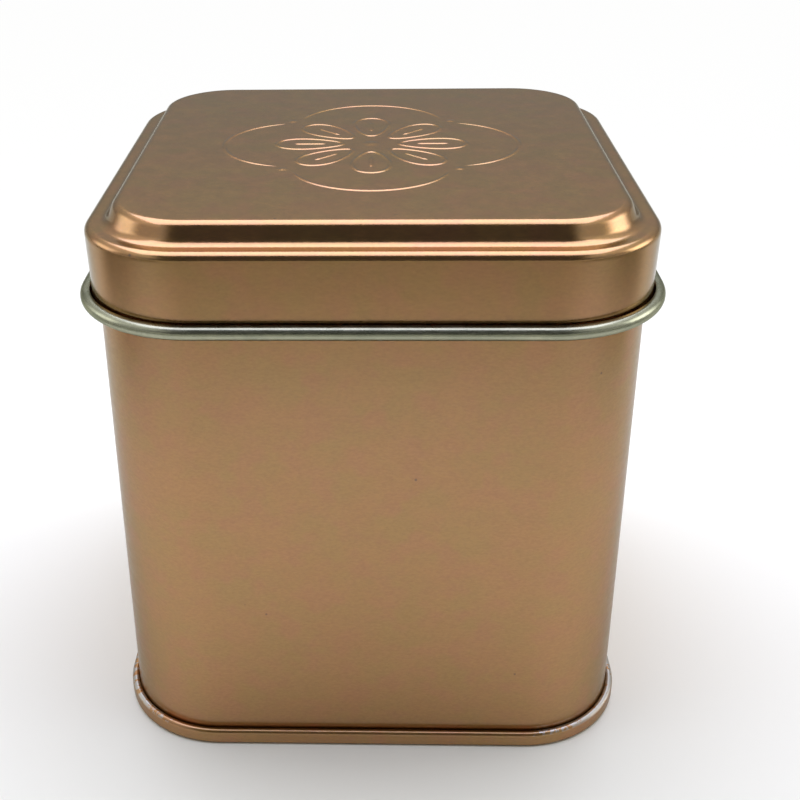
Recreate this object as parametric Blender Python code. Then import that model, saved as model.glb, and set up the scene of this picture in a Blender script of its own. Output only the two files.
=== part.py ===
"""Square tin with a lift-off lid, in three pieces of bent sheet: lid, body wall and base plate.

Lengths are in metres. The tin stands on z = 0 with its middle on the Z axis, its front faces -Y,
and the lid comes off along +Z. Every piece is one sheet of the same thickness, so each is drawn as
the middle line of that sheet in section, which is then carried round a rounded square."""

import math

import bmesh
import bpy
from mathutils import Vector

# Sheet and gaps
SHEET = 0.0003
SEAT_GAP = 0.0003

# Body
BODY_WIDTH = 0.0750
BODY_CORNER_RADIUS = 0.0144
BODY_TOP = 0.0792
HEM_BEND_RADIUS = 0.0006
HEM_LENGTH = 0.0014

# Lock seam down the back of the body
LOCK_SEAM_WIDTH = 0.0050
LOCK_SEAM_END_GAP = 0.0006
LOCK_GROOVE_WIDTH = 0.0004
LOCK_GROOVE_DEPTH = 0.0001

# Base plate and the seam that joins it to the body
BASE_SEAM_HEIGHT = 0.0025
BASE_SEAM_OVERHANG = 0.0012
BASE_RECESS = 0.0026
BASE_PANEL_BEND_RADIUS = 0.0007
BASE_FOOT_RADIUS = 0.0006
BASE_LIP_RADIUS = 0.0005
BODY_HOOK_TIP_GAP = 0.0005

# Lid
LID_CLEARANCE = 0.0008
SKIRT_DEPTH = 0.0104
SHOULDER_RADIUS = 0.0015
LEDGE_WIDTH = 0.0009
RISER_HEIGHT = 0.0028
RISER_FOOT_RADIUS = 0.0015
PANEL_EDGE_RADIUS = 0.0013
PANEL_CORNER_INSET = 0.0006
LEDGE_CORNER_INSET = 0.0012
RIM_ROLL_RADIUS = 0.0009

# Ornament pressed up in the lid
BEAD_WIDTH = 0.0009
BEAD_CREST_WIDTH = 0.0004
BEAD_HEIGHT = 0.00025
LOBE_RADIUS = 0.0115
LOBE_OFFSET = 0.0106
LOBE_END_GAP = 0.0015
PETAL_START = 0.0042
PETAL_TIP_GAP = 0.0020
PETAL_SIDE_GAP = 0.0006
BOSS_RADIUS = 0.0017
STUD_RADIUS = 0.0009
STUD_OFFSET = 0.0015

# Angles and counts
RISER_ANGLE = math.radians(66.0)
RIM_ROLL_TURN = math.radians(290.0)
QUARTER = math.radians(90.0)
HALF = math.radians(180.0)
CORNER_STEPS = 8
BEND_STEPS = 4
ROLL_STEPS = 11
PETALS = 8
LOBES = 4
PETAL_STEPS = 20
LOBE_STEPS = 20
VEIN_STEPS = 6
STUD_STEPS = 12
LOCK_SEAM_LAYERS = 2

# Shares of the size that they follow
PETAL_WIDTH_SHARE = 0.86
PETAL_EGG_SHARE = 0.30
VEIN_START_SHARE = 0.26
VEIN_LENGTH_SHARE = 0.48
TAPER_SHARE = 0.16
TIP_WIDTH_SHARE = 0.30
STUD_CREST_SHARE = 0.55

# Worked out from the sizes above
HALF_SHEET = SHEET / 2
HALF_BODY = BODY_WIDTH / 2
LEDGE_TOP = BODY_TOP + SEAT_GAP + SHEET
PANEL_TOP = LEDGE_TOP + RISER_HEIGHT
RIM_LEVEL = LEDGE_TOP - SKIRT_DEPTH
LID_BOTTOM = RIM_LEVEL - RIM_ROLL_RADIUS
SKIRT_MIDDLE = HALF_BODY + LID_CLEARANCE + HALF_SHEET
EDGE_BEND = PANEL_EDGE_RADIUS - HALF_SHEET
FOOT_BEND = RISER_FOOT_RADIUS + HALF_SHEET
RISER_BENDS_RUN = (EDGE_BEND + FOOT_BEND) * math.sin(RISER_ANGLE)
RISER_BENDS_DROP = (EDGE_BEND + FOOT_BEND) * (1.0 - math.cos(RISER_ANGLE))
RISER_SLOPE = (RISER_HEIGHT - RISER_BENDS_DROP) / math.sin(RISER_ANGLE)
LEDGE_START = SKIRT_MIDDLE - (SHOULDER_RADIUS - HALF_SHEET) - LEDGE_WIDTH
PANEL_EDGE = LEDGE_START - RISER_BENDS_RUN - RISER_SLOPE * math.cos(RISER_ANGLE)
LOBE_MEETING_ANGLE = QUARTER / 2 + math.asin(LOBE_OFFSET / (math.sqrt(2.0) * LOBE_RADIUS))
FRAME_WAIST = math.sqrt(2.0) * LOBE_RADIUS * math.sin(LOBE_MEETING_ANGLE)
PETAL_LENGTH = FRAME_WAIST - PETAL_TIP_GAP - PETAL_START


def clear_scene():
    """Remove every object, so that the tin stands alone."""
    for obj in list(bpy.data.objects):
        bpy.data.objects.remove(obj)


def metal(name, colour, roughness):
    """A material of coloured or bare sheet metal."""
    material = bpy.data.materials.new(name)
    material.use_nodes = True
    shader = material.node_tree.nodes["Principled BSDF"]
    shader.inputs["Base Color"].default_value = (*colour, 1.0)
    shader.inputs["Roughness"].default_value = roughness
    shader.inputs["Metallic"].default_value = 1.0
    return material


def lid_lacquer():
    """Copper-coloured lacquer on the lid."""
    return metal("lid_lacquer", (0.50, 0.31, 0.17), 0.28)


def body_lacquer():
    """The same lacquer on the body, a little duller."""
    return metal("body_lacquer", (0.47, 0.29, 0.16), 0.34)


def base_lacquer():
    """Lacquer on the base, rubbed at its edges."""
    return metal("base_lacquer", (0.42, 0.27, 0.16), 0.38)


def run(line, length):
    """Carry the sheet's middle line straight on."""
    across, up, heading = line[-1]
    line.append((across + length * math.cos(heading), up + length * math.sin(heading), heading))


def bend(line, radius, angle, steps=BEND_STEPS):
    """Bend the middle line along an arc; a positive angle turns it to its left."""
    across, up, heading = line[-1]
    side = math.copysign(1.0, angle)
    centre_across = across - side * radius * math.sin(heading)
    centre_up = up + side * radius * math.cos(heading)
    for step in range(1, steps + 1):
        turned = heading + angle * step / steps
        line.append((
            centre_across + side * radius * math.sin(turned),
            centre_up - side * radius * math.cos(turned),
            turned,
        ))


def body_corner_radius(across, up):
    """The corner radius that keeps a section point parallel to the body."""
    return BODY_CORNER_RADIUS + across - HALF_BODY


def square_ring(bm, half, radius, up):
    """A ring of vertices round a square with rounded corners."""
    ring = []
    inset = half - radius
    for corner in range(4):
        for step in range(CORNER_STEPS + 1):
            angle = QUARTER * (corner + step / CORNER_STEPS)
            corner_x = inset * math.copysign(1.0, math.cos(QUARTER * (corner + 0.5)))
            corner_y = inset * math.copysign(1.0, math.sin(QUARTER * (corner + 0.5)))
            point = (corner_x + radius * math.cos(angle), corner_y + radius * math.sin(angle), up)
            ring.append(bm.verts.new(point))
    return ring


def join_rings(bm, first, second):
    """Faces between two rings of the same count."""
    for index in range(len(first)):
        after = (index + 1) % len(first)
        bm.faces.new((first[index], first[after], second[after], second[index]))


def sheet_mesh(name, line, corner_radius, level, has_panel):
    """Thicken a middle line to the sheet and carry it round the tin. With has_panel the line's
    start is closed by a flat panel, and otherwise the sheet goes round open in the middle."""
    bm = bmesh.new()
    rings = []
    for side, points in ((1.0, line), (-1.0, line[::-1])):
        for across, up, heading in points:
            out = -side * HALF_SHEET * math.sin(heading)
            rise = side * HALF_SHEET * math.cos(heading)
            radius = corner_radius(across, up) + out
            rings.append(square_ring(bm, across + out, radius, up + rise - level))
    for first, second in zip(rings, rings[1:]):
        join_rings(bm, first, second)
    if has_panel:
        bm.faces.new(rings[0])
        bm.faces.new(rings[-1])
    else:
        join_rings(bm, rings[-1], rings[0])
    return finished_mesh(name, bm)


def finished_mesh(name, bm):
    """Turn the faces out, shade them smooth but for real edges, and store the mesh."""
    bmesh.ops.recalc_face_normals(bm, faces=bm.faces)
    mesh = bpy.data.meshes.new(name)
    bm.to_mesh(mesh)
    bm.free()
    mesh.shade_smooth()
    mesh.set_sharp_from_angle(angle=math.radians(35.0))
    return mesh


def add_object(name, mesh, material, parent, level):
    """Put a mesh in the scene under the tin's empty, with its origin on the tin's axis."""
    obj = bpy.data.objects.new(name, mesh)
    mesh.materials.append(material)
    bpy.context.scene.collection.objects.link(obj)
    obj.parent = parent
    obj.location = Vector((0.0, 0.0, level))
    return obj


def add_helper(name, mesh):
    """A cutter or a filler for a Boolean, left out of the model itself."""
    obj = bpy.data.objects.new(name, mesh)
    bpy.context.scene.collection.objects.link(obj)
    obj.hide_render = True
    obj.display_type = "WIRE"
    return obj


def add_boolean(target, helper, operation):
    """Cut a helper from the target, or join it on."""
    modifier = target.modifiers.new(helper.name, "BOOLEAN")
    modifier.operation = operation
    modifier.solver = "EXACT"
    modifier.object = helper


def lid_line():
    """Middle line of the lid: panel edge, riser, ledge, shoulder, skirt and rolled rim."""
    line = [(PANEL_EDGE, PANEL_TOP - HALF_SHEET, 0.0)]
    bend(line, EDGE_BEND, -RISER_ANGLE)
    run(line, RISER_SLOPE)
    bend(line, FOOT_BEND, RISER_ANGLE)
    run(line, LEDGE_WIDTH)
    bend(line, SHOULDER_RADIUS - HALF_SHEET, -QUARTER, BEND_STEPS + 1)
    run(line, SKIRT_DEPTH - SHOULDER_RADIUS)
    bend(line, RIM_ROLL_RADIUS - HALF_SHEET, RIM_ROLL_TURN, ROLL_STEPS)
    return line


def lid_corner_radius(across, up):
    """Corner radius of the lid's section points: tighter on the top, and parallel to the body at
    the rim."""
    if up > LEDGE_TOP - SHEET and across <= LEDGE_START:
        share = (across - PANEL_EDGE) / (LEDGE_START - PANEL_EDGE)
        inset = PANEL_CORNER_INSET + (LEDGE_CORNER_INSET - PANEL_CORNER_INSET) * share
    else:
        share = (up - RIM_LEVEL) / (SKIRT_DEPTH - SHEET)
        inset = LEDGE_CORNER_INSET * min(1.0, max(0.0, share))
    return body_corner_radius(across, up) - inset


def body_line():
    """Middle line of the body wall: hem at the top, wall, and the hook held in the base seam."""
    hem_bend = HEM_BEND_RADIUS - HALF_SHEET
    wall_middle = HALF_BODY - HALF_SHEET
    hook_middle = HALF_BODY + BASE_SEAM_OVERHANG - SHEET - SEAT_GAP - HALF_SHEET
    hook_bend = (hook_middle - wall_middle) / 2
    hook_level = SHEET + SEAT_GAP + HALF_SHEET + hook_bend
    bend_level = BODY_TOP - HEM_BEND_RADIUS
    line = [(wall_middle - 2 * hem_bend, bend_level - HEM_LENGTH, QUARTER)]
    run(line, HEM_LENGTH)
    bend(line, hem_bend, -HALF, 2 * BEND_STEPS)
    run(line, bend_level - hook_level)
    bend(line, hook_bend, HALF, 2 * BEND_STEPS)
    run(line, BASE_SEAM_HEIGHT - SHEET - BODY_HOOK_TIP_GAP - hook_level)
    return line


def base_line():
    """Middle line of the base plate: recessed panel, inner wall, foot, outer wall and lip."""
    panel_bend = BASE_PANEL_BEND_RADIUS - HALF_SHEET
    foot_bend = BASE_FOOT_RADIUS - HALF_SHEET
    lip_bend = BASE_LIP_RADIUS - HALF_SHEET
    inner_middle = HALF_BODY - SHEET - SEAT_GAP - HALF_SHEET
    outer_middle = HALF_BODY + BASE_SEAM_OVERHANG - HALF_SHEET
    panel_level = BASE_RECESS + HALF_SHEET
    lip_tip = HALF_BODY + SEAT_GAP
    line = [(inner_middle - panel_bend, panel_level, 0.0)]
    bend(line, panel_bend, -QUARTER)
    run(line, panel_level - panel_bend - foot_bend - HALF_SHEET)
    bend(line, foot_bend, QUARTER)
    run(line, outer_middle - inner_middle - 2 * foot_bend)
    bend(line, foot_bend, QUARTER)
    run(line, BASE_SEAM_HEIGHT - BASE_FOOT_RADIUS - BASE_LIP_RADIUS)
    bend(line, lip_bend, QUARTER)
    run(line, outer_middle - lip_bend - lip_tip)
    return line


def bead(bm, points, crest, closed):
    """A raised line along flat points; each point is (x, y, width share). Its sides lean in, its
    root lies halfway into the panel's sheet, and crest is the height of its top."""
    root = crest - BEAD_HEIGHT - HALF_SHEET
    sections = []
    for index, (x, y, share) in enumerate(points):
        before = points[index - 1] if closed or index > 0 else points[index]
        after = points[(index + 1) % len(points)] if closed or index < len(points) - 1 else points[index]
        along = Vector((after[0] - before[0], after[1] - before[1])).normalized()
        section = []
        for width, level in ((-BEAD_WIDTH, root), (-BEAD_CREST_WIDTH, crest),
                             (BEAD_CREST_WIDTH, crest), (BEAD_WIDTH, root)):
            reach = share * width / 2
            section.append(bm.verts.new((x - along.y * reach, y + along.x * reach, level)))
        sections.append(section)
    for first, second in zip(sections, sections[1:]):
        join_rings(bm, first, second)
    if closed:
        join_rings(bm, sections[-1], sections[0])
    else:
        bm.faces.new(sections[0])
        bm.faces.new(sections[-1])


def turned(points, angle):
    """The same flat points turned about the tin's axis."""
    cosine, sine = math.cos(angle), math.sin(angle)
    return [(x * cosine - y * sine, x * sine + y * cosine, share) for x, y, share in points]


def taper(share):
    """Width share of an open line at this share of its length: narrow tips, full middle."""
    from_tip = min(share, 1.0 - share) / TAPER_SHARE
    return TIP_WIDTH_SHARE + (1.0 - TIP_WIDTH_SHARE) * math.sin(QUARTER * min(1.0, from_tip))


def petal_points():
    """Egg-shaped outline of the petal that points along +X, as wide as its neighbours leave room."""
    middle = PETAL_START + PETAL_LENGTH / 2
    room = middle * math.tan(HALF / PETALS) - (BEAD_WIDTH + PETAL_SIDE_GAP) / 2
    points = []
    for step in range(PETAL_STEPS):
        angle = 2 * HALF * step / PETAL_STEPS
        x = middle + PETAL_LENGTH / 2 * math.cos(angle)
        y = PETAL_WIDTH_SHARE * room * math.sin(angle) * (1.0 + PETAL_EGG_SHARE * math.cos(angle))
        points.append((x, y, 1.0))
    return points


def vein_points():
    """Short line down the middle of that petal."""
    points = []
    for step in range(VEIN_STEPS + 1):
        share = step / VEIN_STEPS
        x = PETAL_START + PETAL_LENGTH * (VEIN_START_SHARE + VEIN_LENGTH_SHARE * share)
        points.append((x, 0.0, taper(share)))
    return points


def lobe_points():
    """Arc of the frame round that petal, with tapered ends that stop short of the next arc."""
    half_angle = LOBE_MEETING_ANGLE - LOBE_END_GAP / LOBE_RADIUS
    points = []
    for step in range(LOBE_STEPS + 1):
        share = step / LOBE_STEPS
        angle = half_angle * (2 * share - 1.0)
        x = LOBE_OFFSET + LOBE_RADIUS * math.cos(angle)
        points.append((x, LOBE_RADIUS * math.sin(angle), taper(share)))
    return points


def stud(bm, x, y, radius, crest):
    """A small round boss with leaning sides."""
    depth = BEAD_HEIGHT + HALF_SHEET
    made = bmesh.ops.create_cone(
        bm, cap_ends=True, segments=STUD_STEPS, radius1=radius,
        radius2=radius * STUD_CREST_SHARE, depth=depth,
    )
    bmesh.ops.translate(bm, verts=made["verts"], vec=Vector((x, y, crest - depth / 2)))


def ornament_mesh(crest):
    """Rosette of petals in a frame of four lobes, with a stud where two lobes meet."""
    bm = bmesh.new()
    for petal in range(PETALS):
        angle = 2 * HALF * petal / PETALS
        bead(bm, turned(petal_points(), angle), crest, closed=True)
        bead(bm, turned(vein_points(), angle), crest, closed=False)
    for lobe in range(LOBES):
        angle = 2 * HALF * lobe / LOBES
        bead(bm, turned(lobe_points(), angle), crest, closed=False)
        between = angle + HALF / LOBES
        distance = FRAME_WAIST + STUD_OFFSET
        stud(bm, distance * math.cos(between), distance * math.sin(between), STUD_RADIUS, crest)
    stud(bm, 0.0, 0.0, BOSS_RADIUS, crest)
    return finished_mesh("lid_ornament", bm)


def box_mesh(name, low, high):
    """A plain box between two corners."""
    bm = bmesh.new()
    made = bmesh.ops.create_cube(bm, size=1.0)
    for vert in made["verts"]:
        shares = vert.co + Vector((0.5, 0.5, 0.5))
        vert.co = Vector(a + (b - a) * share for a, b, share in zip(low, high, shares))
    return finished_mesh(name, bm)


def make_lid(tin):
    """The lid, with its ornament joined on."""
    mesh = sheet_mesh("lid", lid_line(), lid_corner_radius, LID_BOTTOM, has_panel=True)
    lid = add_object("lid", mesh, lid_lacquer(), tin, LID_BOTTOM)
    ornament = add_helper("lid_ornament", ornament_mesh(PANEL_TOP + BEAD_HEIGHT - LID_BOTTOM))
    ornament.parent = tin
    ornament.location = lid.location
    add_boolean(lid, ornament, "UNION")
    return lid


def make_body_wall(tin):
    """The body wall, with the folded lock seam inside its back and the groove outside."""
    mesh = sheet_mesh("body_wall", body_line(), body_corner_radius, 0.0, has_panel=False)
    wall = add_object("body_wall", mesh, body_lacquer(), tin, 0.0)
    inside = HALF_BODY - SHEET
    low = BASE_RECESS + SHEET + LOCK_SEAM_END_GAP
    high = BODY_TOP - HEM_BEND_RADIUS - HEM_LENGTH - LOCK_SEAM_END_GAP
    fold = add_helper("lock_seam_fold", box_mesh(
        "lock_seam_fold",
        (-LOCK_SEAM_WIDTH / 2, inside - LOCK_SEAM_LAYERS * SHEET, low),
        (LOCK_SEAM_WIDTH / 2, inside + HALF_SHEET, high),
    ))
    groove = add_helper("lock_seam_groove", box_mesh(
        "lock_seam_groove",
        (-LOCK_GROOVE_WIDTH / 2, HALF_BODY - LOCK_GROOVE_DEPTH, low),
        (LOCK_GROOVE_WIDTH / 2, HALF_BODY + SHEET, high),
    ))
    add_boolean(wall, fold, "UNION")
    add_boolean(wall, groove, "DIFFERENCE")
    return wall


def make_base_plate(tin):
    """The base plate, whose foot is the flat land that the tin stands on."""
    mesh = sheet_mesh("base_plate", base_line(), body_corner_radius, 0.0, has_panel=True)
    return add_object("base_plate", mesh, base_lacquer(), tin, 0.0)


def main():
    clear_scene()
    tin = bpy.data.objects.new("tin", None)
    bpy.context.scene.collection.objects.link(tin)
    make_base_plate(tin)
    make_body_wall(tin)
    make_lid(tin)


main()
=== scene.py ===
"""Dresses the square tin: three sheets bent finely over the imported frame, copper-coloured lacquer
outside, bare tinplate inside, a rosette pressed up in the lid, and a small plain studio.

Lengths are in metres. The tin stands on z = 0 with its middle on the Z axis and its front faces -Y.
Each sheet is drawn as its middle line in section, in points of (across, up, heading), and that
section is then carried round a square with rounded corners."""

import math

import bmesh
import bpy
from bpy.props import FloatProperty, FloatVectorProperty, PointerProperty
from mathutils import Matrix, Vector


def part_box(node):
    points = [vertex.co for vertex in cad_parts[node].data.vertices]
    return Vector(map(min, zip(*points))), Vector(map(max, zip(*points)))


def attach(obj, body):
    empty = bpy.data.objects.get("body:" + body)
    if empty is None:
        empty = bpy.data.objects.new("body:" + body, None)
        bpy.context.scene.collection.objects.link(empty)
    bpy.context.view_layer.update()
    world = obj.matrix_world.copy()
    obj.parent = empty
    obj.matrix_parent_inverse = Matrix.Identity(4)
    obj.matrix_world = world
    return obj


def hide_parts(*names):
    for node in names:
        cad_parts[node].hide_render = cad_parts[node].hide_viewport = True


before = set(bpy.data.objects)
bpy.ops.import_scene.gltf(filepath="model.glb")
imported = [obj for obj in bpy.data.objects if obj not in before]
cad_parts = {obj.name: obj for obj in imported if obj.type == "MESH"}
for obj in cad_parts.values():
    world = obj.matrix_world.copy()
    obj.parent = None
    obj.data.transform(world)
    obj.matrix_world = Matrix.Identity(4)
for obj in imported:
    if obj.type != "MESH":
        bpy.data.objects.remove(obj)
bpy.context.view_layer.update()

bl_info = {
    "name": "Square tin",
    "version": (1, 0, 0),
    "blender": (4, 5, 0),
    "location": "3D View > Sidebar > Tin",
    "description": "Adds a square sheet-metal tin with a lift-off lid, and a plain studio round it",
    "category": "Add Mesh",
}

# Far corners of the CAD nodes' boxes
LID_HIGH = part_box("lid")[1]
WALL_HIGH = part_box("body_wall")[1]
BASE_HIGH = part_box("base_plate")[1]

# Turns
QUARTER = math.radians(90.0)
HALF_TURN = math.radians(180.0)
WHOLE_TURN = math.radians(360.0)

# How finely the sheets are drawn
CORNER_STEPS = 24
BEND_STEP = math.radians(7.5)
FLAT_HOLD = 0.0002
SIDE_SHARES = (0.985, 0.8, 0.4, 0.0, -0.4, -0.8, -0.985)
SHARP_ANGLE = math.radians(40.0)

# Finishes of a sheet, in the order of its material slots
LACQUER_SIDE = 0
BARE_SIDE = 1

# Hem, hook and lip where the sheets fold
HEM_BEND_RADIUS = 0.0006
HEM_LENGTH = 0.0014
SEAT_GAP = 0.0003
LID_SEAT = 0.0002
BASE_PANEL_BEND_RADIUS = 0.0007
BASE_FOOT_RADIUS = 0.0006
BASE_LIP_RADIUS = 0.0006
BASE_LIP_TURN = math.radians(140.0)
BODY_HOOK_TIP_GAP = 0.0005

# Lock seam down the back of the body
LOCK_SEAM_WIDTH = 0.0050
LOCK_SEAM_END_GAP = 0.0006
LOCK_SEAM_LAYERS = 2
LOCK_GROOVE_WIDTH = 0.0004
LOCK_GROOVE_DEPTH = 0.0001
LOCK_GROOVE_SLOPE = 0.00035
BACK_WALL_BAND = 0.001
ON_WALL = 0.00001
ON_CUT = 0.000001
CUT_MERGE = 0.0000001
FACES_STRAIGHT = 0.99

# Raised panel of the lid
PANEL_EDGE_RADIUS = 0.0013
RISER_FOOT_RADIUS = 0.0015
RISER_ANGLE = math.radians(66.0)
PANEL_CORNER_INSET = 0.0006
LEDGE_CORNER_INSET = 0.0012
PANEL_HOLD = 0.0005

# Rolled rim of the lid
RIM_ROLL_TURN = math.radians(290.0)

# Rosette and its frame of lobes
PETALS = 8
LOBES = 4
PETAL_STEPS = 56
LOBE_STEPS = 64
VEIN_STEPS = 24
STUD_STEPS = 32
STUD_RINGS = 8
LOBE_OFFSET = 0.0106
LOBE_END_GAP = 0.0015
PETAL_START = 0.0042
PETAL_TIP_GAP = 0.0020
PETAL_SIDE_GAP = 0.0006
PETAL_WIDTH_SHARE = 0.86
PETAL_EGG_SHARE = 0.30
VEIN_START_SHARE = 0.26
VEIN_LENGTH_SHARE = 0.48
TAPER_SHARE = 0.16
BOSS_RADIUS = 0.0017
STUD_RADIUS = 0.0010
STUD_OFFSET = 0.0015
BEAD_SECTION = (-0.5, -0.42, -0.34, -0.26, -0.18, -0.09, 0.0, 0.09, 0.18, 0.26, 0.34, 0.42, 0.5)
BEAD_SINK = 0.00001
BEAD_LEAST_WIDTH_SHARE = 0.3
BEAD_UNDERSIDE = (0.45, -0.45)
STUD_FOOT_INSET = 0.05

# Patterns of the lacquer. A noise is its grains in a metre along each axis, detail and roughness;
# a range is the span of the noise that is used
PATCH_NOISE = ((130.0, 130.0, 150.0), 3.0, 0.6)
PATCH_RANGE = (0.38, 0.62)
BLUSH_NOISE = ((210.0, 210.0, 240.0), 2.0, 0.5)
BLUSH_OFFSET = (4.0, 9.0, 2.0)
BLUSH_RANGE = (0.48, 0.66)
BLUSH_SHARE = 0.8
FINE_NOISE = ((1500.0, 1500.0, 3200.0), 3.0, 0.7)
FINE_RANGE = (0.25, 0.75)
FINE_SHADES = (0.87, 1.10)
SPECKS_PER_METRE = 330.0
SPECK_KEEP = 0.05
SPECK_SIZE = 0.08
SPECK_CORE_SHARE = 0.6
SPECK_STRENGTH = 0.7
RUB_NOISE = ((420.0, 420.0, 900.0), 3.0, 0.6)
RUB_RANGE = (0.3, 0.7)
RUB_SPREAD = 0.04
SKIN_NOISE = ((2400.0, 2400.0, 6000.0), 2.0, 0.55)
SKIN_HEIGHT = 0.000007
SWELL_NOISE = ((70.0, 70.0, 70.0), 1.0, 0.4)
SWELL_HEIGHT = 0.00006

# Gloss coat of the lacquer
COAT_WEIGHT = 0.38
COAT_IOR = 2.4
COAT_ROUGHNESS = 0.14

# Roughness of the lacquer on each sheet, and where each sheet's patterns start
BODY_ROUGHNESS = 0.34
BODY_OFFSET = (0.0, 0.0, 0.0)
SEAM_ROUGHNESS = 0.36
SEAM_OFFSET = (3.0, 5.0, 8.0)
LID_ROUGHNESS = 0.22
LID_OFFSET = (8.0, 3.0, 5.0)

# Wear of the base seam: its heights, its noise, and how strong that must be to bare the metal
WEAR_HEIGHTS = (0.00195, 0.00240)
CHIP_NOISE = ((700.0, 700.0, 300.0), 4.0, 0.7)
CHIP_OFFSET = (1.0, 6.0, 4.0)
CHIP_RIGHT_PLACES = (0.014, 0.030)
CHIP_RIGHT_LEVELS = (0.80, 0.44)
CHIP_LEFT_PLACES = (-0.033, -0.028)
CHIP_LEFT_LEVELS = (0.46, 0.80)

# Patterns of the bare tinplate
CLOUD_NOISE = ((260.0, 260.0, 260.0), 4.0, 0.6)
CLOUD_RANGE = (0.35, 0.65)
CLOUD_HEIGHT = 0.00002
STREAK_NOISE = ((300.0, 300.0, 6000.0), 2.0, 0.5)
STREAK_OFFSET = (2.0, 7.0, 1.0)
STREAK_RANGE = (0.3, 0.7)
STREAK_ROUGHNESS = (0.22, 0.32)

# Tint of the metals where they are seen at a flat angle
LACQUER_EDGE_TINT = (0.50, 0.54, 0.51, 1.0)
BARE_EDGE_TINT = (0.45, 0.46, 0.42, 1.0)

# Broad lamp over the tin and a little behind it
KEY_LEVEL = 0.32
KEY_BACK = 0.08
KEY_WIDTH = 0.40
KEY_DEPTH = 0.39
KEY_COLOUR = (0.98, 1.0, 1.34)

# Grey cards in front of the tin and at its sides, which shade the floor there
CARD_FRONT = -0.33
CARD_BACK = -0.14
CARD_LEVEL = 0.12
SIDE_CARD_BACK = 0.03
SIDE_CARD_LEVEL = 0.05
SIDE_CARD_INNER = 0.16
SIDE_CARD_OUTER = 0.30
CARD_GREY = (0.18, 0.18, 0.18, 1.0)

# Distances from the tin between which the floor fades to plain white
FLOOR_WHITE_START = 0.08
FLOOR_WHITE_END = 0.24

# Share of that white that the metal reflects from the floor behind the tin
FLOOR_MIRROR_SHARE = 0.25

# Half width of the floor, and how matt it is
FLOOR_REACH = 30.0
FLOOR_ROUGHNESS = 0.9

# Where the parts of the room fade, along the side, depth and height of a direction of length 1
FRONT_FADE = (-0.10, 0.10)
FRONT_WIDTH = (0.38, 0.55)
ROOM_WALL_FADE = (0.20, 0.36)
ROOM_WALL_LOW_SHARE = 0.72
CEILING_FADE = (0.45, 0.65)
CEILING_SHARES = (1.0, 1.5)
WINDOW_MIDDLE = 0.14
WINDOW_DEPTH_FADE = (0.16, 0.38)
WINDOW_TOP_FADE = (0.36, 0.56)
WINDOW_SIDE_FADE = (-0.2, 0.2)
HORIZON_FADE = (0.01, 0.10)
HORIZON_DIM_SHARE = 0.3
WHITE = (1.0, 1.0, 1.0, 1.0)

# Place of the camera: turns in degrees, lengths in metres, the rest in pixels of an 800-pixel frame
IMAGE_SIZE = 800.0
SENSOR_WIDTH = 36.0
FOCAL_PIXELS = 1224.7
CENTRE_X = 335.9
CENTRE_Y = 357.5
CAMERA_PITCH = math.radians(26.194)
CAMERA_YAW = math.radians(-2.037)
CAMERA_ROLL = math.radians(-0.838)
CAMERA_PLACE = Vector((0.000588, -0.179616, 0.135028))
CLIP_START = 0.01


def size_property(name, description, default, least):
    """A length that a user may change."""
    return FloatProperty(
        name=name, description=description, default=default, min=least, unit="LENGTH",
    )


def colour_property(name, description, default):
    """A colour that a user may change."""
    return FloatVectorProperty(
        name=name, description=description, default=default,
        subtype="COLOR", size=4, min=0.0, max=1.0,
    )


def level_property(name, description, default):
    """A light level that a user may change."""
    return FloatProperty(name=name, description=description, default=default, min=0.0)


class TinSizes(bpy.types.PropertyGroup):
    """Sizes of the tin's sheets and of the ornament pressed up in the lid."""

    sheet: size_property("Sheet", "Thickness of the tinplate", 0.0003, 0.0001)
    body_width: size_property("Body width", "Outside width of the body wall", 0.0750, 0.03)
    body_corner: size_property(
        "Body corner", "Outside radius of the body's upright corners", 0.0144, 0.002,
    )
    body_top: size_property(
        "Body height", "Height of the hem round the body's mouth", WALL_HIGH.z, 0.03,
    )
    seam_reach: size_property(
        "Seam reach", "From the tin's middle to the outside of its bottom seam", BASE_HIGH.x, 0.02,
    )
    seam_height: size_property("Seam height", "Height of the seam round the foot", 0.0025, 0.001)
    base_recess: size_property(
        "Base recess", "How far the base panel is set up from the foot", 0.0026, 0.001,
    )
    lid_clearance: size_property(
        "Lid clearance", "Gap between the body wall and the lid's skirt", 0.0006, 0.0001,
    )
    skirt_depth: size_property(
        "Skirt depth", "From the lid's ledge down to the middle of its rolled rim", 0.01040, 0.004,
    )
    shoulder_radius: size_property(
        "Shoulder", "Outside radius of the bend from ledge to skirt", 0.0011, 0.0005,
    )
    ledge_width: size_property(
        "Ledge", "Flat width between the shoulder and the foot of the riser", 0.00085, 0.0002,
    )
    riser_height: size_property(
        "Panel rise", "Height of the lid's raised panel over its ledge", 0.0028, 0.001,
    )
    bead_width: size_property(
        "Line width", "Width of the lines pressed up in the lid", 0.0010, 0.0003,
    )
    bead_height: size_property(
        "Line height", "How far those lines stand over the panel", 0.00010, 0.00005,
    )
    lobe_radius: size_property(
        "Lobe radius", "Radius of the four arcs that frame the rosette", 0.0115, 0.004,
    )


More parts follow.
